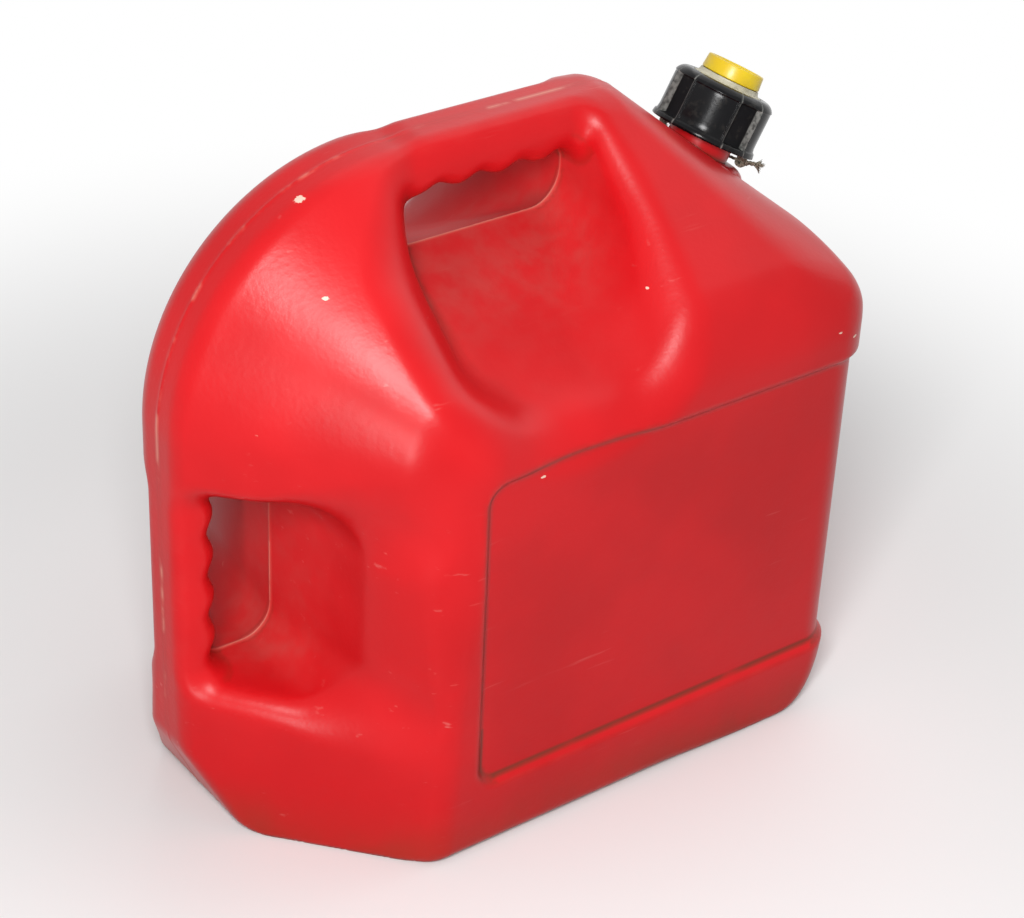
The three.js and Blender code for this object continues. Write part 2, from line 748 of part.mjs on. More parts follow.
const plastic = (name, color, roughness) => {
  const material = new THREE.MeshStandardMaterial({ color, roughness, metalness: 0 });
  material.name = name;
  return material;
};

// The middle of the whole length, from the back of the tank to the collar's shoulder
const shoulderReach = collarRadius - collarShoulder;
const collarFront = neckX + (collarHeight - collarShoulder) * sin(neckAngle)
  + shoulderReach * cos(neckAngle) + collarShoulder;
const boxCentre = (rearX + collarFront) / 2;

const root = new THREE.Group();
const add = (name, body, material) => {
  const mesh = new THREE.Mesh(geometryOf(body.translate(-boxCentre, 0, 0)), material);
  mesh.name = name;
  root.add(mesh);
};
add('tank_body', tankBody(), plastic('red_tank', 0xc8141c, 0.42));
add('neck_gasket', neckGasket(), plastic('black_rubber', 0x1c1c1c, 0.8));
add('spout_tube', spoutTube(), plastic('cream_spout', 0xe6dfc4, 0.5));
add('screw_collar', screwCollar(), plastic('black_collar', 0x0c0c0c, 0.25));
add('mouth_stopper', stopper(), plastic('yellow_stopper', 0xe8c81e, 0.45));
add('tether_twine', tetherTwine(), plastic('olive_twine', 0x6b6650, 0.9));

export default root;
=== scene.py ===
"""A five gallon petrol can of red blow-moulded plastic, with two hand holes, a black screw collar,
a cream spout stowed upside down in the neck, its yellow stopper, and a bit of twine.

Shapes are worked out in millimetres, +X towards the neck, and turned to metres as they are made."""
import math

import bpy
import numpy as np
from mathutils import Matrix, Vector


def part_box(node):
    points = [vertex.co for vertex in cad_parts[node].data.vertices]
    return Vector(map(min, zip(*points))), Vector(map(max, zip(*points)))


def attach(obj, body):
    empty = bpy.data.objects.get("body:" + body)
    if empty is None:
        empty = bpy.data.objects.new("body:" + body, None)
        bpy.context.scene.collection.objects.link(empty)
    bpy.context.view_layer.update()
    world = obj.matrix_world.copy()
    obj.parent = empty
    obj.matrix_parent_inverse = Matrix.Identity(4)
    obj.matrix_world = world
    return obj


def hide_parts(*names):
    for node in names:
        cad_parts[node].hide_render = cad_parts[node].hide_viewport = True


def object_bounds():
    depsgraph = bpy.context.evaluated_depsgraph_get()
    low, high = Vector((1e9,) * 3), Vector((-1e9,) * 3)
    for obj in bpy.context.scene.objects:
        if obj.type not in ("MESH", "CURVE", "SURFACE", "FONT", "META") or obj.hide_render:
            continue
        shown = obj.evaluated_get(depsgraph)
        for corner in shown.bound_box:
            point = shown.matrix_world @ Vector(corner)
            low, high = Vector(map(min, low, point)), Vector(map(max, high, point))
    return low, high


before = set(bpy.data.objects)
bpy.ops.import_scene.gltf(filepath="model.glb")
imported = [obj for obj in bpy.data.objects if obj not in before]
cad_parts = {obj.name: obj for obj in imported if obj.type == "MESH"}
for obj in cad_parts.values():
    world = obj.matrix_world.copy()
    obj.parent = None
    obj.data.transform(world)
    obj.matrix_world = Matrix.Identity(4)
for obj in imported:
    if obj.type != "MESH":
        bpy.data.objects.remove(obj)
cad_low, cad_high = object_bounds()

MM = 0.001
IMAGE_WIDTH = 1024

# Tank outline, seen from the side
tank_length = 370
tank_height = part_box("tank_body")[1].z / MM
tank_half_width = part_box("tank_body")[1].y / MM
back_arc_radius = 130.5
back_arc_drop = 2
back_step_back = -52
back_step_front = -36
heel_cut_height = 45
heel_cut_length = 21
heel_radius = 14
slope_angle = 41
slope_start = 82
crown_radius = 26
shoulder_radius = 62
toe_radius = 44

# How the sides draw in to the narrow ridge
ridge_half_width = 16.5
taper_angle = 48.9
ridge_round = 4
front_corner_round = 28
flank_blend_low = 7
flank_blend_high = 22

# The edge round the base, sharper at the rear, and the flare above it
foot_round = 9
rear_foot_round = 2
rear_foot_round_end = -112
foot_round_start = -84
front_foot_round = 4
foot_round_end = 40
front_foot_round_start = 120
foot_rise = 25
front_foot_rise = 76
foot_flare = 3
foot_flare_height = 75

# Top hand hole. Its corners and edges widen from the middle outwards
top_weld_depth = 64.5
top_pocket_back = -43
top_pocket_front = 58.5
top_pocket_slope = 26
top_back_splay = 20
top_back_tilt = 25
top_tilt_spread = 60
top_front_corner = 18.5
top_front_corner_wide = 50
top_crease_corner = 6
top_crease_corner_wide = 40
top_back_edge = 26
top_front_edge = 18
top_grip_thickness = 28.5

# Rear hand hole
rear_weld_depth = 64.2
rear_pocket_slope = 5
rear_floor_height = 89.5
rear_floor_fall = 5
rear_ceiling_height = 200
rear_ceiling_rise = 8.5
rear_ceiling_corner = 28
rear_ceiling_corner_wide = 34
rear_floor_corner = 18
rear_floor_corner_wide = 30
rear_ceiling_edge = 5
rear_floor_edge = 12
rear_side_edge = 18
rear_corner_edge = 30
rear_side_height = 50
rear_corner_height = 120
rear_grip_thickness = 21.5
corner_spread = 85
edge_spread = 115

# Both grips
grip_half_width = 19
grip_round = 9
grip_ridge_round = 11
grip_fillet = 9
finger_pitch = 25
finger_depth = 1.8
top_finger_crest = 8
rear_finger_crest = 163

# Recessed label band and the mould's parting line
band_back = -73
band_bottom = 38.8
band_top = 230
band_depth = 4
band_corner = 15
band_ramp = 6
flash_height = 0.35
flash_half_width = 0.7

# Neck and thread. Heights on the neck count from the collar's lower rim along the neck's axis
neck_angle = 29.5
neck_forward = 73.7
neck_stand = 10
neck_waist_radius = 18.3
neck_thread_radius = 21.2
neck_bore_radius = 15.8
neck_waist_top = 9
neck_flare = 2.5
neck_foot_fillet = 3
neck_boss_radius = 31.5
neck_boss_top = -7.8
neck_boss_round = 9
neck_lip_round = 1
neck_bore_depth = 34
thread_pitch = 6
thread_depth = 1.9
thread_width = 2.2
thread_turns = 1.15
thread_sink = 0.5
thread_gap = 0.5
thread_play = 0.2

# Collar
collar_height = 31
collar_radius = 29.2
collar_foot_radius = 30.3
collar_shoulder = 6.5
collar_ring = 3
collar_band = 4.8
collar_skirt = 3.4
collar_round = 0.7
lobe_count = 4
lobe_angle = 59
lobe_turn = 36.6
window_floor_radius = 25.6
lobe_inset = 0.7
lobe_strip_angle = 3.2
wall_lean = 0.45
twine_hole_radius = 1.5
twine_hole_inset = 0.2
twine_hole_angles = (91.6, -18.4)
window_rows = 14
wall_rows = (-1, -0.5, 0, 0.5, 1)
wall_columns = (-2, -1, -0.5, 0, 0.5, 1, 2)
least_row_gap = 0.4
least_column_gap = 0.15

# Spout and stopper
fit_gap = 0.3
gasket_thickness = 1.5
flange_thickness = 2.2
flange_radius = 21.4
mouth_radius = 17.2
mouth_flare_radius = 19.7
mouth_rise = 2.8
spout_length = 214
spout_top_radius = 15.2
spout_tip_radius = 9.5
spout_tip_length = 30
spout_wall = 1.7
spout_round = 0.5
stopper_top_radius = 16.2
stopper_radius = 16.9
stopper_head = 8
stopper_stem = 9.5
stopper_dish = 3.4
stopper_rim = 2.2
stopper_round = 0.8

# Twine. Its route is given as radius, angle and height on the neck
twine_radius = 0.9
twine_gap = 0.45
knot_radii = (1.6, 2.2)
knot_drops = (2.1, 4)
twine_route = ((24.6, 80, -3.4), (21.6, 64, -4.4), (20.4, 48, -5), (20.3, 26, -5.1),
               (21.4, 10, -5), (24.8, -6, -4.6))
twine_tails = (((26, 100, -3.4), (22.4, 113, -4.2), (21.6, 128, -4.8)),
               ((32.6, -18.6, -3.6), (36, -19, -2.8), (38.6, -19.6, -2.4)))
tail_swell = 1.5
knot_swell = 1.4
knot_wraps = (1, 0.5)
knot_turn = 1080
knot_step = 30
strand_count = 3
strand_lay = 7
strand_share = 0.5
strand_sides = 7
strand_spacing = 0.6
loop_spacing = 0.5
fibre_count = 70
fibre_length = 5
fibre_length_mean = 0.6
fibre_length_swing = 0.4
fibre_root = 0.7
fibre_bend = (0.5, 0.25)
fibre_tip = (0.85, 0.8)
fibre_radius = 0.26
golden_angle = 137.5

# Fineness of the meshes
tank_cell = 2.2
flash_cells = (0.35, 1.1)
relax_passes = 2
settle_passes = 4
slope_step = tank_cell / 40
least_slope = 0.25
round_steps = 160
arc_steps = 8
curve_steps = 24
round_shares = (0, 0.25, 0.5, 0.75, 1)
straight_enough = -0.93
longest_cut = 0.4

# Where the tank wears, gets dirty, and gets painted shade in its creases. Bends are felt on a ring
# of places round each corner
ring_angles = range(0, 360, 45)
edge_feel = 5
edge_gain = 0.9
crease_feel = 2.2
crease_gain = 4.5
least_bend = 0.25
groove_place = 0.5
groove_width = 0.26
groove_dirt_and_shade = 0.6
unmarked_wall_depth = 2
unmarked_wall_span = (35, 85)
neck_dirt_and_shade_width = 1.7
neck_dirt_and_shade_reach = 1.6
recess_depths = (12, 45)
dust_on_walls = 0.45
dust_on_floors = 0.7
dust_fade = 0.75
dust_span = (25, 75)
base_darkening_height = 1.1
flash_line = 0.9
flash_line_inside = 0.55
rim_wear_and_highlight_width = 1.6

# Colours in linear light. A mark is how strongly it shows, then its colour: pale scuffs, worn
# edges, dust in the hand holes, darkening towards the base, dirt and painted shade in creases,
# and the mould's line
red_tones = ((0.56, 0.006, 0.009), (0.66, 0.010, 0.014))
scuff_mark = (0.32, (0.80, 0.30, 0.27))
worn_mark = (0.12, (0.70, 0.08, 0.07))
dust_mark = (0.34, (0.42, 0.10, 0.085))
base_darkening_mark = (0.50, (0.22, 0.035, 0.014))
dirt_and_shade_mark = (0.80, (0.11, 0.032, 0.014))
flash_mark = (0.55, (0.84, 0.40, 0.30))
chip_tone = (0.88, 0.60, 0.48)
black_tones = ((0.002, 0.002, 0.003), (0.005, 0.005, 0.006))
black_grime_mark = (0.10, (0.13, 0.12, 0.10))
black_rim_wear_and_highlight_tone = (0.46, 0.47, 0.44)
cream_tones = ((0.56, 0.52, 0.38), (0.66, 0.62, 0.48))
cream_dirt_mark = (0.35, (0.16, 0.13, 0.08))
yellow_tones = ((0.80, 0.55, 0.010), (0.86, 0.64, 0.016))
yellow_dirt_mark = (0.14, (0.42, 0.30, 0.06))
rubber_tones = ((0.012, 0.012, 0.012), (0.03, 0.03, 0.03))
rubber_dirt_mark = (0.2, (0.1, 0.09, 0.07))
twine_tones = ((0.09, 0.08, 0.055), (0.44, 0.40, 0.31))

# How matt each material is, from its shiniest patches to its dullest, and how it reflects
red_roughness = (0.29, 0.36)
recess_roughness = 0.35
black_roughness = (0.17, 0.23)
window_roughness = 0.6
cream_roughness = (0.36, 0.5)
yellow_roughness = (0.28, 0.40)
rubber_roughness = (0.7, 0.9)
twine_roughness = (0.8, 1.0)
red_specular = 0.23
black_specular = 0.17

# Pale chips in the red plastic: where they are, how large, and how ragged
chips = (((-109.9, -12.3, 347), 3.3), ((-117.3, -47.5, 311.2), 2), ((52.8, -83.7, 284.7), 1.4),
         ((-156.5, -47.3, 247.1), 1.2), ((-36.1, -119.6, 221.1), 1.5), ((-96, 38, 336), 1.6),
         ((166.1, -122.5, 241.2), 1.6), ((154.6, -123.2, 246.9), 1.2))
chip_squeeze = (0.75, 1, 1.7)
chip_ragged = 0.9
chip_rim = (1.1, 1.3)

# Camera, room and lamps. An azimuth counts from the near side towards the neck. A lamp is its
# name, azimuth, elevation, distance, width and height in metres, and power in watts
camera_azimuth = -37.724
camera_elevation = 32.168
camera_roll = 2.779
camera_distance = 1457.35
camera_target = (36.321, 0, 143.299)
focal_pixels = 2635.43
sensor_width = 36
world_light = 0.26
floor_light = 0.30
floor_tone = 0.86
floor_roughness = 0.9
floor_specular = 0.1
floor_fade = (0.30, 0.75)
floor_reach = 6
lamps = (("flash", -41, 37, 1.3, 0.3, 0.3, 12), ("low_flash", -51, 7, 1.2, 0.08, 0.4, 3.8),
         ("fill", 105, 48, 2.4, 3.2, 3.2, 33))

# What follows from these sizes
rear_x = -tank_length / 2
front_x = tank_length / 2
top_weld_height = tank_height - top_weld_depth
top_grip_height = tank_height - top_grip_thickness
rear_weld_x = rear_x + rear_weld_depth
rear_grip_x = rear_x + rear_grip_thickness
neck_x = slope_start + neck_forward
neck_root = -neck_stand * 2
to_frame = np.array([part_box("tank_body")[0].x / MM - rear_x, 0, 0])


def sin(angle):
    return math.sin(math.radians(angle))


def cos(angle):
    return math.cos(math.radians(angle))


def tan(angle):
    return math.tan(math.radians(angle))


neck_clearance = neck_stand * cos(slope_angle - neck_angle)
neck_z = tank_height + (neck_clearance - neck_forward * sin(slope_angle)) / cos(slope_angle)
neck_axis = np.array([sin(neck_angle), 0, cos(neck_angle)])
neck_side = np.array([cos(neck_angle), 0, -sin(neck_angle)])
neck_origin = np.array([neck_x, 0, neck_z])


# Distance-like fields: negative inside. The rounded joins keep the fields' slopes near one
def round_max(a, b, radius):
    beyond = np.hypot(np.maximum(a + radius, 0), np.maximum(b + radius, 0))
    return np.minimum(-radius, np.maximum(a, b)) + beyond


def round_min(a, b, radius):
    return -round_max(-a, -b, radius)


def reach(radius, turn):
    half = cos(turn / 2)
    return radius * (1 / half - 1) * half * math.sqrt(2) / (math.sqrt(2) - 1)


def ramp(value, start, end):
    share = np.clip((value - start) / (end - start), 0, 1)
    return share * share * (3 - 2 * share)


def mix(a, b, share):
    return a + (b - a) * share


arc_x = rear_x + back_arc_radius
arc_z = tank_height - back_arc_drop - back_arc_radius


def ridge_depth(x, z):
    """Depth below the line of the back, its arc and the top, where the grip stands up a little."""
    round_part = back_arc_radius - np.hypot(arc_x - x, z - arc_z)
    drop = mix(back_arc_drop, 0, ramp(x, back_step_back, back_step_front))
    straight = np.minimum(x - rear_x, tank_height - drop - z)
    return np.where((x < arc_x) & (z > arc_z), round_part, straight)


def outline_field(x, z):
    heel_size = math.hypot(heel_cut_height, heel_cut_length)
    heel_turn = math.degrees(math.atan2(heel_cut_length, heel_cut_height))
    heel = (x - rear_x - heel_cut_length) * -heel_cut_height / heel_size
    heel = heel - z * heel_cut_length / heel_size
    slope = (x - slope_start) * sin(slope_angle) + (z - tank_height) * cos(slope_angle)
    back = round_max(-ridge_depth(x, z), heel, reach(crown_radius, heel_turn))
    top = round_max(back, slope, reach(crown_radius, slope_angle))
    front = round_max(top, x - front_x, reach(shoulder_radius, 90 - slope_angle))
    return round_max(front, -z, np.where(x > 0, toe_radius, reach(heel_radius, 90 - heel_turn)))


blend_bottom = band_bottom * 2


def flank_field(x, y, z):
    taper = (y - ridge_half_width) * cos(taper_angle) - ridge_depth(x, z) * sin(taper_angle)
    taper = taper - mix(foot_flare, 0, ramp(z, 0, foot_flare_height))
    blend = mix(flank_blend_low, flank_blend_high, ramp(z, blend_bottom, band_top))
    return round_max(taper, y - tank_half_width, blend)


back_lean = math.hypot(1, tan(top_back_splay), tan(top_back_tilt))


def outwards(near, wide, y):
    return mix(near, wide, ramp(y, 0, corner_spread))


def top_pocket_field(x, y, z):
    roof = (top_weld_height - z) * cos(top_pocket_slope) - y * sin(top_pocket_slope)
    tilt = (z - top_weld_height) * tan(top_back_tilt) * ramp(y, 0, top_tilt_spread)
    back = (top_pocket_back - x - y * tan(top_back_splay) - tilt) / back_lean
    fade = ramp(y, top_tilt_spread, tank_half_width)
    crease = round_max(roof, back, mix(top_crease_corner, top_crease_corner_wide, fade))
    return round_max(crease, x - top_pocket_front,
                     outwards(top_front_corner, top_front_corner_wide, y))


def rear_pocket_field(x, y, z):
    roof = (x - rear_weld_x) * cos(rear_pocket_slope) - y * sin(rear_pocket_slope)
    ceiling = (z - rear_ceiling_height) * cos(rear_ceiling_rise) - y * sin(rear_ceiling_rise)
    upper = round_max(roof, ceiling, outwards(rear_ceiling_corner, rear_ceiling_corner_wide, y))
    floor = (rear_floor_height - z) * cos(rear_floor_fall) - y * sin(rear_floor_fall)
    return round_max(upper, floor, outwards(rear_floor_corner, rear_floor_corner_wide, y))


def rear_rim_round(y, z):
    inner = mix(rear_floor_edge, rear_ceiling_edge,
                ramp(z, rear_floor_height, rear_ceiling_height))
    span = np.abs(z * 2 - rear_floor_height - rear_ceiling_height)
    outer = mix(rear_side_edge, rear_corner_edge,
                ramp(span, rear_side_height, rear_corner_height))
    return mix(inner, outer, ramp(y, grip_half_width * 2, edge_spread))


def wave(along, crest):
    return np.cos((along - crest) * 2 * math.pi / finger_pitch)


def top_grip_field(x, y, z):
    inner = top_grip_height - finger_depth * wave(x, top_finger_crest) - z
    return round_max(y - grip_half_width, inner, grip_round)


def rear_grip_field(x, y, z):
    inner = x - rear_grip_x - finger_depth * wave(z, rear_finger_crest)
    return round_max(y - grip_half_width, inner, grip_round)


def band_edge(x, z):
    sides = np.maximum(band_bottom - z, z - band_top)
    return round_max(sides, band_back - x, band_corner)


def block_field(x, y, z):
    """The whole block, with no hand holes and no band."""
    upright = mix(ridge_round, front_corner_round, ramp(x, slope_start / 2, neck_x))
    rear = mix(rear_foot_round, foot_round, ramp(x, rear_foot_round_end, foot_round_start))
    front = ramp(x, foot_round_end, front_foot_round_start)
    front_rise = ramp(x + z, front_x - toe_radius, front_x - toe_radius + front_foot_rise)
    rise = mix(ramp(z, 0, foot_rise), front_rise, front)
    edge = mix(mix(rear, front_foot_round, front), upright, rise)
    return round_max(flank_field(x, y, z), outline_field(x, z), edge)


def neck_place(x, y, z):
    """Height along the neck's axis and distance from it."""
    height = (x - neck_x) * neck_axis[0] + (z - neck_z) * neck_axis[2]
    across = (x - neck_x) * neck_side[0] + (z - neck_z) * neck_side[2]
    return height, np.hypot(across, y)


def stem_field(x, y, z):
    """The neck's stem and the boss at its foot, just inside their turned skin."""
    height, radius = neck_place(x, y, z)
    stem = np.maximum(radius - neck_waist_radius, height - neck_waist_top / 2)
    boss = np.maximum(radius - neck_boss_radius, height - neck_boss_top + neck_boss_round)
    return np.maximum(np.minimum(stem, boss) + fit_gap, neck_root - height)


def tank_field(x, y_across, z):
    y = np.abs(y_across)
    block = block_field(x, y, z)
    away = ramp(y, grip_half_width, grip_half_width * 3)
    top_full = mix(top_back_edge, top_front_edge, ramp(x, top_pocket_back, top_pocket_front))
    top_wall = round_min(-top_pocket_field(x, y, z), top_grip_field(x, y, z), grip_fillet)
    topped = round_max(block, top_wall, mix(grip_ridge_round, top_full, away))
    rear_wall = round_min(-rear_pocket_field(x, y, z), rear_grip_field(x, y, z), grip_fillet)
    rim = mix(grip_ridge_round, rear_rim_round(y, z), away)
    body = round_max(topped, rear_wall, rim)
    body = body + band_depth * ramp(-band_edge(x, z), 0, band_ramp)
    body = body - flash_height * np.exp(-(y / flash_half_width) ** 2)
    return round_min(body, stem_field(x, y, z), neck_foot_fillet)


def grid_lines(low, high, cell, middle=()):
    """Grid lines from low to high, with closer ones at either side of zero."""
    if not middle:
        return np.linspace(low, high, round((high - low) / cell) + 1)
    inner, outer = middle
    right = np.linspace(outer, high, round((high - outer) / cell) + 1)
    return np.concatenate([-right[::-1], [-inner, inner], right])


def slope_of(field, points, step):
    columns = []
    for axis in range(3):
        shift = np.zeros(3)
        shift[axis] = step
        ahead = field(*(points + shift).T)
        columns.append((ahead - field(*(points - shift).T)) / (2 * step))
    return np.stack(columns, 1)


def drawn_onto(field, points, passes):
    """Points moved onto the surface of a field."""
    for _ in range(passes):
        slope = slope_of(field, points, slope_step)
        size = np.maximum((slope ** 2).sum(1), least_slope)
        points = points - slope * (field(*points.T) / size)[:, None]
    return points


def surface_of(field, lines):
    """Corners and four-sided faces of the surface of a field, one corner in each grid cell that
    the surface crosses."""
    shape = [len(line) - 1 for line in lines]
    values = field(*np.meshgrid(*lines, indexing="ij"))
    cells, crossings, faces = [], [], []
    for axis in range(3):
        along = np.moveaxis(values, axis, 0)
        low, high = along[:-1], along[1:]
        found = np.argwhere(np.moveaxis((low < 0) != (high < 0), 0, axis))
        ends = found.copy()
        ends[:, axis] += 1
        a, b = values[tuple(found.T)], values[tuple(ends.T)]
        points = np.stack([lines[n][found[:, n]] for n in range(3)], 1)
        points[:, axis] += (lines[axis][ends[:, axis]] - points[:, axis]) * a / (a - b)
        second, third = (axis + 1) % 3, (axis + 2) % 3
        ring = []
        for step_two, step_three in ((1, 1), (0, 1), (0, 0), (1, 0)):
            cell = found.copy()
            cell[:, second] -= step_two
            cell[:, third] -= step_three
            ring.append(np.ravel_multi_index(cell.T, shape))
            crossings.append(points)
        ring = np.stack(ring, 1)
        faces.append(np.where((a < 0)[:, None], ring, ring[:, ::-1]))
        cells.extend(ring.T)
    cells, crossings, faces = (np.concatenate(c) for c in (cells, crossings, faces))
    used, index = np.unique(cells, return_inverse=True)
    count = np.bincount(index)
    corners = np.stack([np.bincount(index, crossings[:, n]) / count for n in range(3)], 1)
    return corners, np.searchsorted(used, faces)


def relaxed(points, faces, passes):
    """Each corner drawn to the middle of its neighbours."""
    ends = np.concatenate([faces, np.roll(faces, -1, 1)], 0)
    starts = np.concatenate([np.roll(faces, -1, 1), faces], 0)
    ends, starts = ends.ravel(), starts.ravel()
    count = np.bincount(starts, minlength=len(points))[:, None]
    for _ in range(passes):
        sums = [np.bincount(starts, points[ends, n], len(points)) for n in range(3)]
        points = (points + np.stack(sums, 1) / count) / 2
    return points

def add_object(name, data):
    obj = bpy.data.objects.new(name, data)
    bpy.context.scene.collection.objects.link(obj)
    return obj


def piece(name, parts, body, replaced, material):
    """A mesh piece from (corners in mm, faces) parts, which rides on a body."""
    corners, faces, first = [], [], 0
    for part_corners, part_faces in parts:
        corners.append(np.asarray(part_corners) + to_frame)
        faces.extend((np.asarray(face) + first).tolist() for face in part_faces)
        first += len(part_corners)
    mesh = bpy.data.meshes.new(name)
    mesh.from_pydata(np.concatenate(corners) * MM, [], faces)
    mesh.polygons.foreach_set("use_smooth", [True] * len(mesh.polygons))
    mesh.materials.append(material)
    mesh.update()
    obj = add_object(name, mesh)
    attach(obj, body)
    if replaced:
        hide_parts(replaced)
    return obj


def give(obj, name, values):
    """A number at each corner of a piece, which its material reads."""
    layer = obj.data.attributes.new(name, "FLOAT", "POINT")
    layer.data.foreach_set("value", np.asarray(values, np.float32))


def on_neck(points):
    """Points from the neck's own frame, whose Z is its axis, to the can's frame."""
    points = np.asarray(points, float)
    return (neck_origin + points[:, :1] * neck_side + points[:, 1:2] * np.array([0, 1, 0])
            + points[:, 2:] * neck_axis)


def on_circle(radius, angle, height):
    return np.array([radius * cos(angle), radius * sin(angle), height])


def arc(centre_radius, centre_height, radius, start, end):
    """Radius and height pairs along an arc, by angle from the outward direction."""
    angles = [mix(start, end, n / arc_steps) for n in range(arc_steps + 1)]
    return [(centre_radius + radius * cos(a), centre_height + radius * sin(a)) for a in angles]


def softened(profile, radius):
    """The profile with its sharp corners rounded."""
    points = [np.array(p, float) for p in profile]
    closed = profile[0][0] > 0
    out = []
    for n, point in enumerate(points):
        if not closed and n in (0, len(points) - 1):
            out.append(point)
            continue
        into, out_of = points[n - 1] - point, points[(n + 1) % len(points)] - point
        size_in, size_out = np.linalg.norm(into), np.linalg.norm(out_of)
        if np.dot(into, out_of) / (size_in * size_out) < straight_enough:
            out.append(point)
            continue
        cut = min(radius, size_in * longest_cut, size_out * longest_cut)
        start, end = point + into / size_in * cut, point + out_of / size_out * cut
        for share in round_shares:
            out.append(mix(mix(start, point, share), mix(point, end, share), share))
    return [tuple(p) for p in out]


def turned(profile, radius_at=None, angles=np.arange(round_steps) * 360 / round_steps):
    """Corners and faces of a solid turned about the neck's axis. A profile that starts off the
    axis is a closed ring."""
    closed = profile[0][0] > 0
    corners, rows = [], []
    for n, (radius, height) in enumerate(profile):
        if radius == 0:
            rows.append([len(corners)] * len(angles))
            corners.append((0, 0, height))
            continue
        rows.append(list(range(len(corners), len(corners) + len(angles))))
        for angle in angles:
            here = radius_at(n, radius, height, angle) if radius_at else radius
            corners.append(on_circle(here, angle, height))
    faces = []
    pairs = list(zip(rows[:-1], rows[1:])) + ([(rows[-1], rows[0])] if closed else [])
    for below, above in pairs:
        for s in range(len(angles)):
            t = (s + 1) % len(angles)
            quad = [below[s], below[t], above[t], above[s]]
            faces.append([c for i, c in enumerate(quad) if c != quad[i - 1]])
    return on_neck(corners), faces


def lofted(sections):
    """Corners and faces of a closed solid through sections of equally many points."""
    sides = len(sections[0])
    corners = [p for section in sections for p in section]
    last = (len(sections) - 1) * sides
    faces = [list(range(sides))[::-1], list(range(last, last + sides))]
    for n in range(0, last, sides):
        for s in range(sides):
            t = (s + 1) % sides
            faces.append([n + s, n + t, n + t + sides, n + s + sides])
    return on_neck(corners), faces


def thread(root, start, section):
    """A screw thread round the neck, whose section fades into its root at both ends."""
    count = round(thread_turns * round_steps)
    turns = []
    for n in range(count + 1):
        fade = min(n, count - n, arc_steps) / arc_steps
        rise = start + thread_pitch * n / round_steps
        turns.append([on_circle(mix(root, radius, fade), 360 * n / round_steps, rise + height)
                      for radius, height in section])
    return lofted(turns)


# What stacks up inside the collar, from its ring down
ring_under = collar_height - collar_ring
flange_top = ring_under - fit_gap
flange_under = flange_top - flange_thickness
gasket_under = flange_under - fit_gap - gasket_thickness
neck_lip = gasket_under - fit_gap
crest_radius = neck_thread_radius + thread_depth
collar_bore = crest_radius + fit_gap + thread_play
ring_hole = mouth_flare_radius + fit_gap
hole_reach = window_floor_radius + twine_hole_radius + twine_hole_inset
thread_start = neck_waist_top + neck_flare + thread_width


class NodeMaker:
    """Adds shader nodes to a tree and joins them."""

    def __init__(self, tree):
        self.tree = tree

    def fill(self, node, inputs):
        """Joins sockets of other nodes to a node's inputs, or sets their constants."""
        for key, value in inputs.items():
            socket = node.inputs[key]
            if isinstance(value, bpy.types.NodeSocket):
                self.tree.links.new(value, socket)
            elif socket.type == "RGBA":
                socket.default_value = (*value, 1)
            else:
                socket.default_value = value

    def node(self, kind, inputs=None, output=0, **settings):
        """An output of a new node with these inputs and settings."""
        node = self.tree.nodes.new(kind)
        for key, value in settings.items():
            setattr(node, key, value)
        self.fill(node, inputs or {})
        return node.outputs[output]

    def math(self, operation, a, b, clamp=False):
        return self.node("ShaderNodeMath", {0: a, 1: b}, operation=operation, use_clamp=clamp)

    def times(self, a, b):
        return self.math("MULTIPLY", a, b)

    def vector(self, operation, a, b=(0, 0, 0)):
        output = "Value" if operation == "LENGTH" else "Vector"
        return self.node("ShaderNodeVectorMath", {0: a, 1: b}, output, operation=operation)

    def place(self):
        return self.node("ShaderNodeTexCoord", output="Object")

    def noise(self, scale, detail, stretch=None):
        place = self.place()
        if stretch:
            place = self.node("ShaderNodeMapping", {"Vector": place, "Scale": stretch})
        return self.node("ShaderNodeTexNoise",
                         {"Vector": place, "Scale": scale, "Detail": detail})

    def band(self, value, low, high, to_low=0, to_high=1):
        """A smooth step from to_low to to_high, as the value goes from low to high."""
        return self.node("ShaderNodeMapRange",
                         {"Value": value, "From Min": low, "From Max": high, "To Min": to_low,
                          "To Max": to_high}, interpolation_type="SMOOTHSTEP")

    def blend(self, share, a, b):
        return self.node("ShaderNodeMix", {"Factor": share, 6: a, 7: b}, 2, data_type="RGBA")

    def marked(self, colour, where, mark):
        """The colour with a mark over it."""
        return self.blend(self.times(where, mark[0]), colour, mark[1])

    def corner(self, name):
        """The number that the piece carries at its corners under this name."""
        return self.node("ShaderNodeAttribute", output="Fac", attribute_name=name)

    def spot(self, centre, radius):
        """One at a ragged spot on the can, fading to zero at its rim."""
        away = self.vector("SUBTRACT", self.place(), (np.array(centre) + to_frame) * MM)
        size = self.vector("LENGTH", self.vector("MULTIPLY", away, chip_squeeze))
        ragged = self.math("ADD", size,
                           self.times(self.noise(700, 3), radius * chip_ragged * MM))
        return self.band(ragged, radius * chip_rim[0] * MM, radius * chip_rim[1] * MM, 1, 0)

    def white_seen(self):
        """One for what the camera sees, directly or in reflections, zero for the light cast."""
        camera, glossy, through = (self.node("ShaderNodeLightPath", output=f"Is {kind} Ray")
                                   for kind in ("Camera", "Glossy", "Transmission"))
        return self.math("MAXIMUM", self.math("MAXIMUM", camera, glossy), through)


def finish_material(name, build, specular=0.5):
    """A material whose build function gives its colour, roughness, height and bump depth."""
    material = bpy.data.materials.new(name)
    material.use_nodes = True
    nodes = NodeMaker(material.node_tree)
    colour, roughness, height, depth = build(nodes)
    bump = nodes.node("ShaderNodeBump", {"Height": height, "Distance": depth * MM,
                                         "Strength": 1})
    nodes.fill(material.node_tree.nodes["Principled BSDF"],
               {"Base Color": colour, "Roughness": roughness, "Normal": bump,
                "Specular IOR Level": specular})
    return material


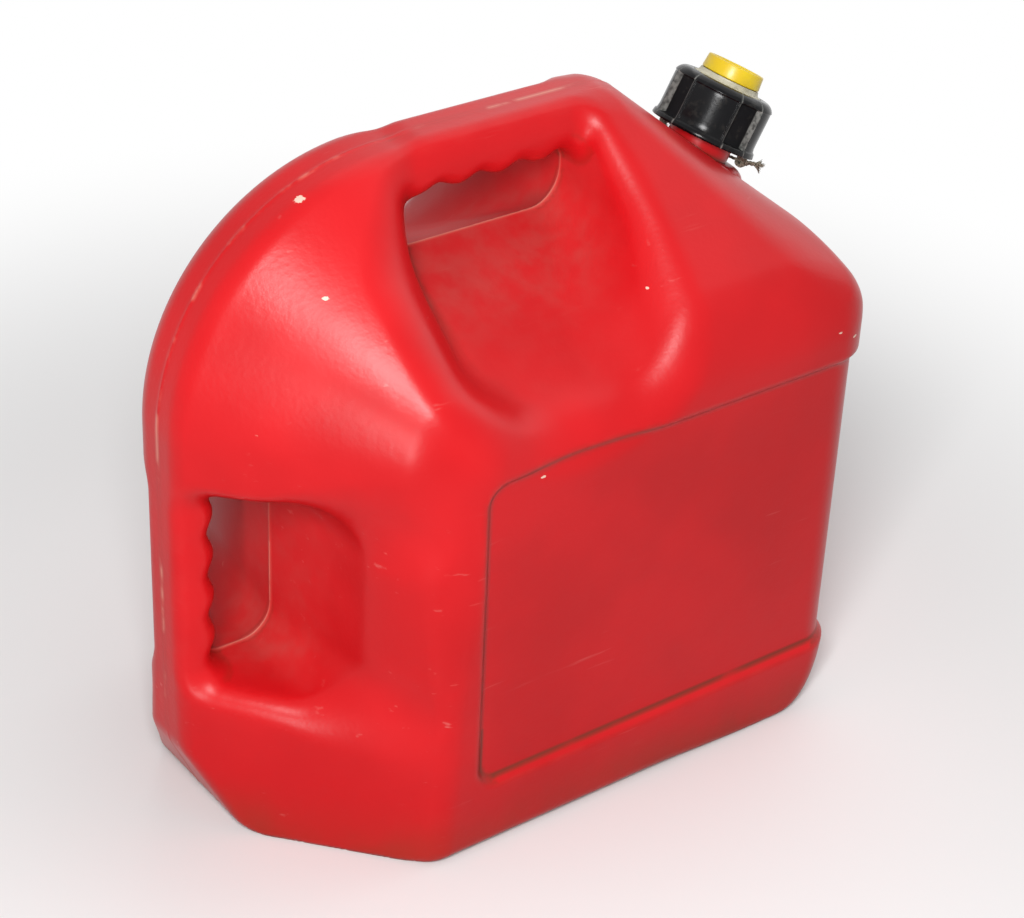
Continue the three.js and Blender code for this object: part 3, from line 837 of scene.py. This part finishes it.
def red_build(nodes):
    fine = nodes.noise(70, 4)
    colour = nodes.blend(nodes.band(nodes.noise(9, 3), 0.35, 0.68), *red_tones)
    # Scuffs run mostly along the can
    scuffs = nodes.times(nodes.band(nodes.noise(160, 3, (0.12, 1, 1.6)), 0.66, 0.78),
                         nodes.band(nodes.noise(14, 2), 0.46, 0.70))
    colour = nodes.marked(colour, scuffs, scuff_mark)
    edge_mark = nodes.times(nodes.corner("edge"), nodes.band(fine, 0.40, 0.65))
    colour = nodes.marked(colour, edge_mark, worn_mark)
    patches = nodes.band(nodes.noise(75, 5), 0.30, 0.75, 0.2, 1)
    colour = nodes.marked(colour, nodes.times(nodes.corner("dust"), patches), dust_mark)
    # Darker towards the base, in patches
    patches = nodes.band(nodes.noise(22, 5), 0.30, 0.70, 0.35, 1)
    colour = nodes.marked(colour, nodes.times(nodes.corner("low"), patches), base_darkening_mark)
    # Dirt and painted shade in the creases, the band's groove and round the neck's foot, in patches
    patches = nodes.band(nodes.noise(40, 3), 0.25, 0.55, 0.45, 1)
    colour = nodes.marked(colour, nodes.times(nodes.corner("crease"), patches), dirt_and_shade_mark)
    # The line where the mould's halves met is whole in the hand holes
    whole = nodes.math("MAXIMUM", nodes.band(nodes.noise(34, 4), 0.50, 0.62),
                       nodes.corner("dust"))
    colour = nodes.marked(colour, nodes.times(nodes.corner("flash"), whole), flash_mark)
    spots = nodes.spot(*chips[0])
    for centre, radius in chips[1:]:
        spots = nodes.math("MAXIMUM", spots, nodes.spot(centre, radius))
    colour = nodes.blend(nodes.times(spots, nodes.band(fine, 0.30, 0.45)), colour, chip_tone)
    roughness = nodes.math("ADD", nodes.band(nodes.noise(18, 3), 0.3, 0.7, *red_roughness),
                           nodes.times(nodes.corner("recess"), recess_roughness), clamp=True)
    grain = nodes.math("ADD", nodes.times(nodes.noise(420, 2), 0.55), nodes.noise(90, 2))
    return colour, roughness, grain, 0.12


def black_build(nodes):
    colour = nodes.blend(nodes.band(nodes.noise(60, 3), 0.35, 0.65), *black_tones)
    colour = nodes.marked(colour, nodes.band(nodes.noise(230, 4), 0.54, 0.70), black_grime_mark)
    # The gripping faces have rubbed edges with a pale painted highlight along them, and dull
    # windows between them
    edge_mark = nodes.times(nodes.corner("rim"),
                       nodes.band(nodes.noise(380, 3), 0.30, 0.62, 0.15, 0.55))
    colour = nodes.blend(edge_mark, colour, black_rim_wear_and_highlight_tone)
    roughness = nodes.math("ADD", nodes.band(nodes.noise(150, 3), 0.3, 0.7, *black_roughness),
                           nodes.times(nodes.corner("deep"), window_roughness))
    return colour, nodes.math("ADD", roughness, edge_mark, clamp=True), nodes.noise(700, 3), 0.02


def plain_build(tones, dirt_and_shade_mark, roughness, grain_size, grain_height):
    """A moulded piece of two near tones, with dirt in patches."""
    def build(nodes):
        colour = nodes.blend(nodes.band(nodes.noise(60, 3), 0.35, 0.65), *tones)
        colour = nodes.marked(colour, nodes.band(nodes.noise(240, 4), 0.50, 0.66), dirt_and_shade_mark)
        return (colour, nodes.band(nodes.noise(150, 3), 0.3, 0.7, *roughness),
                nodes.noise(grain_size, 3), grain_height)
    return build


def twine_build(nodes):
    colour = nodes.blend(nodes.band(nodes.noise(900, 3), 0.35, 0.65), *twine_tones)
    return (colour, nodes.band(nodes.noise(500, 2), 0, 1, *twine_roughness),
            nodes.noise(2500, 2), 0.25)


red = finish_material("red_plastic", red_build, red_specular)
black = finish_material("black_plastic", black_build, black_specular)
cream = finish_material("cream_plastic", plain_build(
    cream_tones, cream_dirt_mark, cream_roughness, 500, 0.04))
yellow = finish_material("yellow_plastic", plain_build(
    yellow_tones, yellow_dirt_mark, yellow_roughness, 500, 0.04))
rubber = finish_material("black_rubber", plain_build(
    rubber_tones, rubber_dirt_mark, rubber_roughness, 900, 0.05))
twine_finish = finish_material("twine_fibre", twine_build)


def tank_wall():
    """Corners and faces of the tank's wall, drawn onto its field and kept inside the CAD box."""
    margin = tank_cell * 2.5
    lines = [grid_lines(rear_x - margin, front_x + margin, tank_cell),
             grid_lines(-tank_half_width - margin, tank_half_width + margin, tank_cell,
                        flash_cells),
             grid_lines(-margin, tank_height + margin, tank_cell)]
    corners, faces = surface_of(tank_field, lines)
    near_middle = np.abs(corners[:, 1]) < flash_cells[1] + tank_cell / 4
    smooth = relaxed(corners, faces, relax_passes)
    corners = np.where(near_middle[:, None], corners, smooth)
    corners = drawn_onto(tank_field, corners, settle_passes)
    return np.clip(corners, [rear_x, -tank_half_width, 0],
                   [np.inf, tank_half_width, tank_height]), faces


def neck_skin():
    """The neck's turned skin: its boss, waist, threaded wall, lip and bore."""
    boss = arc(neck_boss_radius - neck_boss_round, neck_boss_top - neck_boss_round,
               neck_boss_round, 0, 90)
    waist = [(neck_waist_radius, height) for height in np.linspace(neck_boss_top + 1, 3, 9)]
    profile = [(0, neck_root), (neck_boss_radius, neck_root), *boss,
               (neck_waist_radius, neck_boss_top), *waist, (neck_waist_radius, neck_waist_top),
               (neck_thread_radius, neck_waist_top + neck_flare),
               (neck_thread_radius, neck_lip), (neck_bore_radius, neck_lip),
               (neck_bore_radius, neck_lip - neck_bore_depth), (0, neck_lip - neck_bore_depth)]
    return turned(softened(profile, neck_lip_round))


def make_tank():
    root = neck_thread_radius - thread_sink
    neck_thread = thread(root, thread_start, (
        (root, -thread_width / 2), (crest_radius, -thread_width / 4),
        (crest_radius, thread_width / 4), (root, thread_width / 2)))
    tank = piece("tank", [tank_wall(), neck_skin(), neck_thread], "tank",
                 "tank_body", red)
    mark_tank(tank)


def mark_tank(tank):
    """Numbers at the tank's corners for wear, dirt, dust, painted shade and a darker base, which
    the red plastic reads.
    """
    points = np.array([v.co[:] for v in tank.data.vertices]) / MM - to_frame
    x, y, z = points.T
    across = np.abs(y)
    normal = slope_of(tank_field, points, slope_step * 2)
    normal /= np.maximum(np.linalg.norm(normal, axis=1), 1e-6)[:, None]
    sideways = np.cross(normal, [0.31, 0.87, 0.37])
    sideways /= np.linalg.norm(sideways, axis=1)[:, None]
    upwards = np.cross(normal, sideways)

    def felt(reach_out):
        """How far the places at this distance lie outside the tank, on average."""
        total = 0
        for angle in ring_angles:
            way = sideways * cos(angle) + upwards * sin(angle)
            total = total + tank_field(*(points + way * reach_out).T) / len(ring_angles)
        return total

    inside = -block_field(x, across, z)
    # The band's groove, the hollows and the neck's foot get dirt and painted shade
    groove = np.exp(-((band_edge(x, z) + band_ramp * groove_place)
                      / (band_ramp * groove_width)) ** 2)
    groove *= np.abs(normal[:, 1]) + np.abs(normal[:, 0]) > 0.8
    hollow = -felt(crease_feel) * crease_gain - least_bend
    hollow *= 1 - (ramp(across, *unmarked_wall_span) * (inside > unmarked_wall_depth)
                   * (z > blend_bottom))
    height, radius = neck_place(x, y, z)
    above = np.minimum(block_field(x, across, z), height - neck_boss_top)
    foot = np.maximum(above, 0) + np.abs(radius - neck_waist_radius)
    foot = (np.exp(-(foot / neck_dirt_and_shade_width) ** 2) * (height > -neck_stand * neck_dirt_and_shade_reach)
            * (height < neck_waist_top))
    recess = ramp(inside, *recess_depths)
    settled = np.clip(dust_on_walls + normal[:, 2] * dust_on_floors, 0, 1)
    settled *= 1 - dust_fade * ramp(across, *dust_span)
    give(tank, "edge", np.clip(felt(edge_feel) * edge_gain - least_bend, 0, 1))
    give(tank, "crease", np.clip(np.maximum(np.maximum(hollow, foot), groove * groove_dirt_and_shade),
                                 0, 1))
    give(tank, "recess", recess)
    give(tank, "dust", recess * settled)
    give(tank, "low", 1 - ramp(z, 0, band_bottom * base_darkening_height))
    give(tank, "flash", np.exp(-(y / mix(flash_line, flash_line_inside, recess)) ** 2))


def collar_angles():
    """Angles round the collar, closer together where its windows and faces begin and end."""
    out = {round(n * 360 / round_steps, 3) for n in range(round_steps)}
    for n in range(lobe_count):
        middle = lobe_turn + 360 * n / lobe_count
        for edge in (lobe_angle / 2, lobe_angle / 2 - lobe_strip_angle):
            for side in (-1, 1):
                out.update(round((middle + side * (edge + share * wall_lean)) % 360, 3)
                           for share in wall_columns)
    near = sorted(out)
    return [a for n, a in enumerate(near) if n == 0 or a - near[n - 1] > least_column_gap]


def make_collar():
    window_top = collar_height - collar_band
    heights = sorted({0, collar_round / 3, collar_round, collar_skirt / 2,
                      *(collar_skirt + s * wall_lean for s in wall_rows),
                      *np.linspace(collar_skirt + 1, window_top - 1, window_rows),
                      *(window_top + s * wall_lean for s in wall_rows)})

    def outside(height):
        if height < collar_round:
            return collar_foot_radius - collar_round + math.sqrt(
                collar_round ** 2 - (collar_round - height) ** 2)
        top = max(0, height - collar_height + collar_shoulder)
        flare = mix(collar_foot_radius - collar_radius, 0, ramp(height, 0, collar_skirt * 2))
        shoulder = collar_shoulder - math.sqrt(collar_shoulder ** 2 - top ** 2)
        return collar_radius + flare - shoulder

    profile = [(outside(h), h) for h in heights]
    rim = [(r, h) for r, h in arc(collar_radius - collar_shoulder, collar_height
                                  - collar_shoulder, collar_shoulder, 20, 90)
           if h > heights[-1] + least_row_gap]
    inner = softened([(ring_hole, collar_height), (ring_hole, ring_under),
                      (collar_bore, ring_under), (collar_bore, 0)], collar_round / 2)
    outer_count = len(profile) + len(rim)
    profile = profile + rim + inner

    deep, rim_wear_and_highlight = [], []

    def radius_at(n, radius, height, angle):
        """The radius of the turned profile with its windows and gripping faces cut in."""
        if n >= outer_count:
            deep.append(0)
            rim_wear_and_highlight.append(0)
            return radius
        turn = (angle - lobe_turn) % (360 / lobe_count)
        off = min(turn, 360 / lobe_count - turn)
        tall = (ramp(height, collar_skirt - wall_lean, collar_skirt + wall_lean)
                * (1 - ramp(height, window_top - wall_lean, window_top + wall_lean)))
        window = ramp(off, lobe_angle / 2 - wall_lean, lobe_angle / 2 + wall_lean) * tall
        face = lobe_angle / 2 - lobe_strip_angle
        inset = (1 - ramp(off, face - wall_lean, face + wall_lean)) * tall
        beyond = (off - lobe_angle / 2) / wall_lean
        deep.append(window)
        # A pale band along each face's edge: wear and a painted highlight
        rim_wear_and_highlight.append(math.exp(-(beyond / rim_wear_and_highlight_width) ** 2))
        return mix(radius, window_floor_radius, window) - lobe_inset * inset

    body = turned(profile, radius_at, angles=collar_angles())
    root = collar_bore + thread_sink
    crest = neck_thread_radius + thread_gap
    inner_thread = thread(root, thread_start - thread_pitch / 2, (
        (root, -thread_width / 2), (root, thread_width / 2), (crest, thread_width / 4),
        (crest, -thread_width / 4)))
    collar = piece("collar", [body, inner_thread], "collar", "screw_collar",
                   black)
    plain = [0] * len(inner_thread[0])
    give(collar, "deep", deep + plain)
    give(collar, "rim", rim_wear_and_highlight + plain)


def make_spout():
    mouth_top = collar_height + mouth_rise
    tip_top = flange_under - spout_length + spout_tip_length
    rise = mouth_flare_radius - mouth_radius
    bore = spout_top_radius - spout_wall
    profile = softened([
        (spout_tip_radius, flange_under - spout_length),
        (spout_tip_radius, tip_top),
        (spout_top_radius, tip_top + spout_tip_length),
        (spout_top_radius, flange_under),
        (flange_radius, flange_under),
        (flange_radius, flange_top),
        (mouth_flare_radius, flange_top),
        (mouth_flare_radius, collar_height),
        *arc(mouth_flare_radius, collar_height + rise, rise, -90, -180)[1:],
        (mouth_radius, mouth_top),
        (bore, mouth_top),
        (bore, tip_top + spout_tip_length),
        (spout_tip_radius - spout_wall, tip_top),
        (spout_tip_radius - spout_wall, flange_under - spout_length)], spout_round)
    piece("spout", [turned(profile)], "spout", "spout_tube", cream)


def make_stopper():
    under = collar_height + mouth_rise + fit_gap
    top = under + stopper_head
    stem = spout_top_radius - spout_wall - fit_gap
    dish = stopper_top_radius - stopper_rim
    profile = softened([(0, under - stopper_stem), (stem, under - stopper_stem), (stem, under),
                        (stopper_radius, under), (stopper_top_radius, top), (dish, top),
                        (dish - stopper_round, top - stopper_dish), (0, top - stopper_dish)],
                       stopper_round)
    piece("stopper", [turned(profile)], "stopper", "mouth_stopper", yellow)


def route_through(points, spacing):
    """Evenly spaced points on one smooth curve through the given points."""
    points = np.array(points, float)
    ends = [points[0] * 2 - points[1], *points, points[-1] * 2 - points[-2]]
    fine = []
    for a, b, c, d in zip(ends, ends[1:], ends[2:], ends[3:]):
        for t in np.linspace(0, 1, curve_steps, endpoint=False):
            fine.append(0.5 * (2 * b + (c - a) * t + (2 * a - 5 * b + 4 * c - d) * t ** 2
                               + (3 * b - a - 3 * c + d) * t ** 3))
    fine = np.array(fine + [points[-1]])
    gone = np.concatenate([[0], np.cumsum(np.linalg.norm(np.diff(fine, axis=0), axis=1))])
    count = max(int(round(gone[-1] / spacing)), 4)
    wanted = np.linspace(0, gone[-1], count + 1)
    return np.stack([np.interp(wanted, gone, fine[:, n]) for n in range(3)], 1)


def strands(path, radius):
    """Twisted strands along a path: corners and faces of one thin tube each."""
    ahead = np.gradient(path, axis=0)
    ahead /= np.linalg.norm(ahead, axis=1)[:, None]
    gone = np.concatenate([[0], np.cumsum(np.linalg.norm(np.diff(path, axis=0), axis=1))])
    across = np.cross(ahead, [0.2, 0.1, 1.0])
    across /= np.linalg.norm(across, axis=1)[:, None]
    beside = np.cross(ahead, across)
    thick = radius * strand_share
    tubes = []
    for strand in range(strand_count):
        turn = np.radians(360 * (gone / strand_lay + strand / strand_count))
        middle = (path + across * (thick * np.cos(turn))[:, None]
                  + beside * (thick * np.sin(turn))[:, None])
        sections = []
        for n, centre in enumerate(middle):
            around = [across[n] * cos(360 * s / strand_sides)
                      + beside[n] * sin(360 * s / strand_sides) for s in range(strand_sides)]
            sections.append([centre + thick * way for way in around])
        tubes.append(lofted(sections))
    return tubes


def frayed_end(before, end):
    """Loose fibres that spread from the cut end of the twine."""
    ahead = (end - before) / np.linalg.norm(end - before)
    across = np.cross(ahead, [0.3, 0.2, 1.0])
    across /= np.linalg.norm(across)
    beside = np.cross(ahead, across)
    fibres = []
    for n in range(fibre_count):
        turn = n * golden_angle
        spread = math.sqrt((n + 0.5) / fibre_count)
        way = across * cos(turn) + beside * sin(turn)
        start = end + way * spread * twine_radius * tail_swell * fibre_root - ahead * twine_radius
        length = fibre_length * (fibre_length_mean + fibre_length_swing * cos(turn * 3))
        bend, tip = (start + ahead * length * along + way * spread * length * out
                     for along, out in (fibre_bend, fibre_tip))
        sections = []
        for share, thick in ((0, 1), (0.5, 1), (1, 0.5)):
            centre = mix(mix(start, bend, share), mix(bend, tip, share), share)
            sections.append([centre + fibre_radius * thick * (across * cos(s * 90)
                                                              + beside * sin(s * 90))
                             for s in range(4)])
        fibres.append(lofted(sections))
    return fibres


def make_twine():
    out = collar_foot_radius + twine_gap + twine_radius
    over = collar_skirt + twine_gap * 2 + twine_radius
    under = -twine_gap - twine_radius
    knots = [on_circle((hole_reach + out) / 2, angle, -drop)
             for angle, drop in zip(twine_hole_angles, knot_drops)]
    middle = [knots[0], *(on_circle(*point) for point in twine_route), knots[1]]
    path = route_through(middle, strand_spacing)
    strand = piece("twine_strand", strands(path, twine_radius), "collar",
                   "tether_twine", twine_finish)
    rest = []
    for n, angle in enumerate(twine_hole_angles):
        loop = [(hole_reach, under), (hole_reach, collar_skirt / 2), (hole_reach, collar_skirt),
                ((hole_reach + out) / 2, over), (out, collar_skirt), (out, collar_skirt / 2),
                (out, under)]
        bend = [on_circle(radius, angle, height) for radius, height in loop]
        rest += strands(route_through([knots[n], *bend, knots[n]], loop_spacing), twine_radius)
        tail = [knots[n], *(on_circle(*point) for point in twine_tails[n])]
        rest += strands(route_through(tail, loop_spacing), twine_radius * tail_swell)
        size = knot_radii[n] * knot_swell
        for share in knot_wraps:
            wrap = [knots[n] + size * share
                    * np.array([cos(a) * cos(a / 3), sin(a), sin(a / 3) * cos(a)])
                    for a in range(0, knot_turn, knot_step)]
            rest += strands(route_through(wrap, strand_spacing), twine_radius)
        rest += frayed_end(tail[-2], tail[-1])
    knot_piece = piece("twine_knots", rest, "collar", None, twine_finish)
    in_frame = (on_neck(path) + to_frame) * MM
    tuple(in_frame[0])


def give_gasket():
    """The gasket's solid is plain enough to keep, in rubber."""
    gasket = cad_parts["neck_gasket"]
    gasket.data.materials.clear()
    gasket.data.materials.append(rubber)


def direction(azimuth, elevation):
    """Away from the can, with the azimuth counted from its near side towards the neck."""
    return Vector((sin(azimuth) * cos(elevation), -cos(azimuth) * cos(elevation),
                   sin(elevation)))


def make_camera():
    """The photograph's camera: it looks down on the can's near side from behind its back."""
    target = Vector(to_frame + camera_target) * MM
    back = direction(camera_azimuth, camera_elevation)
    right = Vector((cos(camera_azimuth), sin(camera_azimuth), 0))
    up = back.cross(right)
    rolled_right = right * cos(camera_roll) + up * sin(camera_roll)
    rolled_up = up * cos(camera_roll) - right * sin(camera_roll)
    data = bpy.data.cameras.new("camera")
    data.sensor_width = sensor_width
    data.lens = focal_pixels * sensor_width / IMAGE_WIDTH
    place = Matrix((rolled_right, rolled_up, back)).transposed().to_4x4()
    place.translation = target + back * camera_distance * MM
    camera = add_object("camera", data)
    camera.matrix_world = place
    bpy.context.scene.camera = camera


def aim_lamp(name, azimuth, elevation, distance, width, height, power):
    """A soft lamp that faces the can's middle."""
    back = direction(azimuth, elevation)
    data = bpy.data.lights.new(name, "AREA")
    data.shape = "RECTANGLE"
    data.size = width
    data.size_y = height
    data.energy = power
    lamp = add_object(name, data)
    lamp.location = (cad_low + cad_high) / 2 + back * distance
    lamp.rotation_mode = "QUATERNION"
    lamp.rotation_quaternion = back.to_track_quat("Z", "Y")


def make_room():
    """White all round, which lights the can more softly than it looks."""
    world = bpy.data.worlds.new("white_room")
    world.use_nodes = True
    nodes = NodeMaker(world.node_tree)
    nodes.fill(world.node_tree.nodes["Background"], {
        "Color": (1, 1, 1), "Strength": nodes.band(nodes.white_seen(), 0, 1, world_light, 1)})
    bpy.context.scene.world = world


def make_floor():
    """A pale floor that keeps the can's shadow and fades into the white room."""
    mesh = bpy.data.meshes.new("floor")
    mesh.from_pydata([(x * floor_reach, y * floor_reach, 0)
                      for x, y in ((-1, -1), (1, -1), (1, 1), (-1, 1))], [], [(0, 1, 2, 3)])
    material = bpy.data.materials.new("pale_floor")
    material.use_nodes = True
    nodes = NodeMaker(material.node_tree)
    shader = material.node_tree.nodes["Principled BSDF"]
    seen = nodes.white_seen()
    nodes.fill(shader, {"Base Color": nodes.band(seen, 0, 1, floor_light, floor_tone),
                        "Roughness": floor_roughness, "Specular IOR Level": floor_specular})
    far = nodes.band(nodes.vector("LENGTH", nodes.place()), *floor_fade)
    either = nodes.node("ShaderNodeMixShader", {
        0: nodes.times(far, seen), 1: shader.outputs[0], 2: nodes.node("ShaderNodeEmission")})
    nodes.fill(material.node_tree.nodes["Material Output"], {"Surface": either})
    mesh.materials.append(material)
    add_object("floor", mesh)


bpy.context.scene.view_settings.view_transform = "Standard"
make_camera()
make_twine()
make_tank()
make_collar()
make_spout()
make_stopper()
give_gasket()
make_room()
make_floor()
for lamp in lamps:
    aim_lamp(*lamp)
